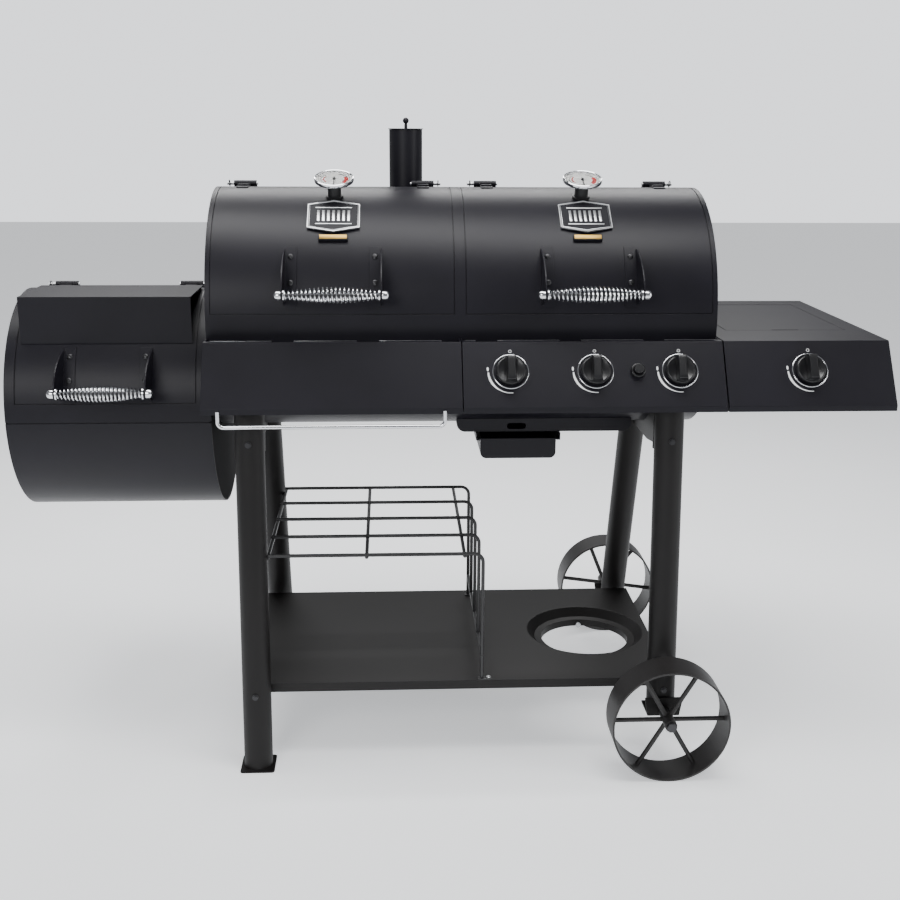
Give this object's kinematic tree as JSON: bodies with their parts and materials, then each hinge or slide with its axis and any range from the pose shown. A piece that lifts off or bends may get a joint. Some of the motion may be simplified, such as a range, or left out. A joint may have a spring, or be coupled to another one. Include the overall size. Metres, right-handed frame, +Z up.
{
  "type": "offset smoker",
  "caption": "Barrel smoker and gas grill on a two-wheel cart, with an offset firebox, hinged drum lids, chimney, lower shelf, wire rack and side burner shelf.",
  "frame": {"origin": "centre of the bounding box at ground level", "axes": "+X to the cook's right along the barrel, +Y away from the cook, +Z up"},
  "size_m": [1.904, 0.8808, 1.376],
  "materials": {
    "body_paint": "satin heat-proof black",
    "cart_paint": "matt black powder coat",
    "wheel_paint": "matt dark grey",
    "zinc_steel": "zinc plated",
    "chrome": "polished",
    "knob_plastic": "gloss",
    "cast_iron": "seasoned",
    "badge_enamel": "enamel with a bright rim",
    "needle_paint": "matt"
  },
  "bodies": {
    "cart": {"leg_front_left": "cart_paint", "leg_front_right": "cart_paint", "leg_back_left": "cart_paint", "leg_back_right": "cart_paint", "leg_saddles": "cart_paint", "fasteners": "zinc_steel", "axle_brackets": "cart_paint", "axle": "zinc_steel", "lower_shelf": "cart_paint", "tank_screw": "zinc_steel", "wire_rack": "cart_paint", "rack_crosses": "cart_paint", "barrel_shell": "body_paint", "barrel_plates": "body_paint", "hinge_leaves": "body_paint", "hinge_pins": "zinc_steel", "chimney_stack": "body_paint", "chimney_bolt": "body_paint", "storage_panel": "body_paint", "control_panel": "body_paint", "towel_bar": "chrome", "knob_rings": "chrome", "gas_manifold": "zinc_steel", "burner_tubes": "zinc_steel", "flame_tamers": "body_paint", "cooking_grates": "cast_iron", "burner_box": "body_paint", "cup_rails": "body_paint", "firebox_shell": "body_paint", "firebox_ends": "body_paint", "fire_grate": "cast_iron", "side_shelf": "body_paint", "side_burner": "cast_iron"},
    "smoker_lid_body": {"smoker_lid": "body_paint", "smoker_lid_brackets": "body_paint", "smoker_grip": "chrome", "smoker_gauge": "chrome", "smoker_badge": "badge_enamel"},
    "grill_lid_body": {"grill_lid": "body_paint", "grill_lid_brackets": "body_paint", "grill_grip": "chrome", "grill_gauge": "chrome", "grill_badge": "badge_enamel"},
    "firebox_lid_body": {"firebox_lid": "body_paint", "firebox_lid_brackets": "body_paint", "firebox_grip": "chrome"},
    "smoker_needle_body": {"smoker_gauge_needle": "needle_paint"},
    "grill_needle_body": {"grill_gauge_needle": "needle_paint"},
    "chimney_cap_body": {"chimney_cap": "body_paint"},
    "wheel_front_body": {"wheel_front": "wheel_paint"},
    "wheel_rear_body": {"wheel_rear": "wheel_paint"},
    "knob_1_body": {"knob_1": "knob_plastic"},
    "knob_2_body": {"knob_2": "knob_plastic"},
    "knob_3_body": {"knob_3": "knob_plastic"},
    "knob_4_body": {"knob_4": "knob_plastic"},
    "igniter_body": {"igniter_button": "knob_plastic"},
    "side_lid_body": {"side_burner_lid": "body_paint"},
    "cup_body": {"grease_cup": "body_paint"},
    "ash_door_body": {"ash_door": "body_paint"},
    "damper_body": {"air_damper": "body_paint"}
  },
  "joints": [
    {"name": "smoker_lid_hinge", "type": "hinge", "parent": "cart", "child": "smoker_lid_body", "pos_m": [-0.224, 0.10969, 1.22929], "axis": [-1, 0, 0], "range_deg": [0, 85]},
    {"name": "grill_lid_hinge", "type": "hinge", "parent": "cart", "child": "grill_lid_body", "pos_m": [0.319, 0.10969, 1.22929], "axis": [-1, 0, 0], "range_deg": [0, 85]},
    {"name": "firebox_lid_hinge", "type": "hinge", "parent": "cart", "child": "firebox_lid_body", "pos_m": [-0.711, 0.10691, 1.00049], "axis": [-1, 0, 0], "range_deg": [0, 80]},
    {"name": "smoker_gauge_turn", "type": "hinge", "parent": "smoker_lid_body", "child": "smoker_needle_body", "pos_m": [-0.224, -0.02311, 1.20707], "axis": [0, 0.3486, -0.9373], "range_deg": [0, 270]},
    {"name": "grill_gauge_turn", "type": "hinge", "parent": "grill_lid_body", "child": "grill_needle_body", "pos_m": [0.319, -0.02311, 1.20707], "axis": [0, 0.3486, -0.9373], "range_deg": [0, 270]},
    {"name": "chimney_cap_swing", "type": "hinge", "parent": "cart", "child": "chimney_cap_body", "pos_m": [-0.065, 0.1555, 1.349], "axis": [0, 0, 1], "range_deg": [-170, 170]},
    {"name": "wheel_front_spin", "type": "hinge", "parent": "cart", "child": "wheel_front_body", "pos_m": [0.487, -0.398, 0.127], "axis": [0, 1, 0], "continuous": true},
    {"name": "wheel_rear_spin", "type": "hinge", "parent": "cart", "child": "wheel_rear_body", "pos_m": [0.487, 0.398, 0.127], "axis": [0, 1, 0], "continuous": true},
    {"name": "knob_1_turn", "type": "hinge", "parent": "cart", "child": "knob_1_body", "pos_m": [0.144, -0.283, 0.86849], "axis": [0, -0.8434, 0.5373], "range_deg": [0, 180]},
    {"name": "knob_2_turn", "type": "hinge", "parent": "cart", "child": "knob_2_body", "pos_m": [0.3215, -0.283, 0.86849], "axis": [0, -0.8434, 0.5373], "range_deg": [0, 180]},
    {"name": "knob_3_turn", "type": "hinge", "parent": "cart", "child": "knob_3_body", "pos_m": [0.499, -0.283, 0.86849], "axis": [0, -0.8434, 0.5373], "range_deg": [0, 180]},
    {"name": "knob_4_turn", "type": "hinge", "parent": "cart", "child": "knob_4_body", "pos_m": [0.7745, -0.283, 0.86849], "axis": [0, -0.8434, 0.5373], "range_deg": [0, 180]},
    {"name": "igniter_push", "type": "slide", "parent": "cart", "child": "igniter_body", "axis": [0, 0.8434, -0.5373], "range_m": [0, 0.0025], "stiffness_N_per_m": 800, "springref_m": -0.001},
    {"name": "side_lid_hinge", "type": "hinge", "parent": "cart", "child": "side_lid_body", "pos_m": [0.772, 0.251, 0.918], "axis": [-1, 0, 0], "range_deg": [0, 95]},
    {"name": "grease_cup_slide", "type": "slide", "parent": "cart", "child": "cup_body", "axis": [0, -1, 0], "range_m": [0, 0.15]},
    {"name": "ash_door_hinge", "type": "hinge", "parent": "cart", "child": "ash_door_body", "pos_m": [-0.938, 0.176, 0.665], "axis": [0, 0, -1], "range_deg": [0, 110]},
    {"name": "air_damper_slide", "type": "slide", "parent": "ash_door_body", "child": "damper_body", "axis": [0, 1, 0], "range_m": [0, 0.012]}
  ]
}
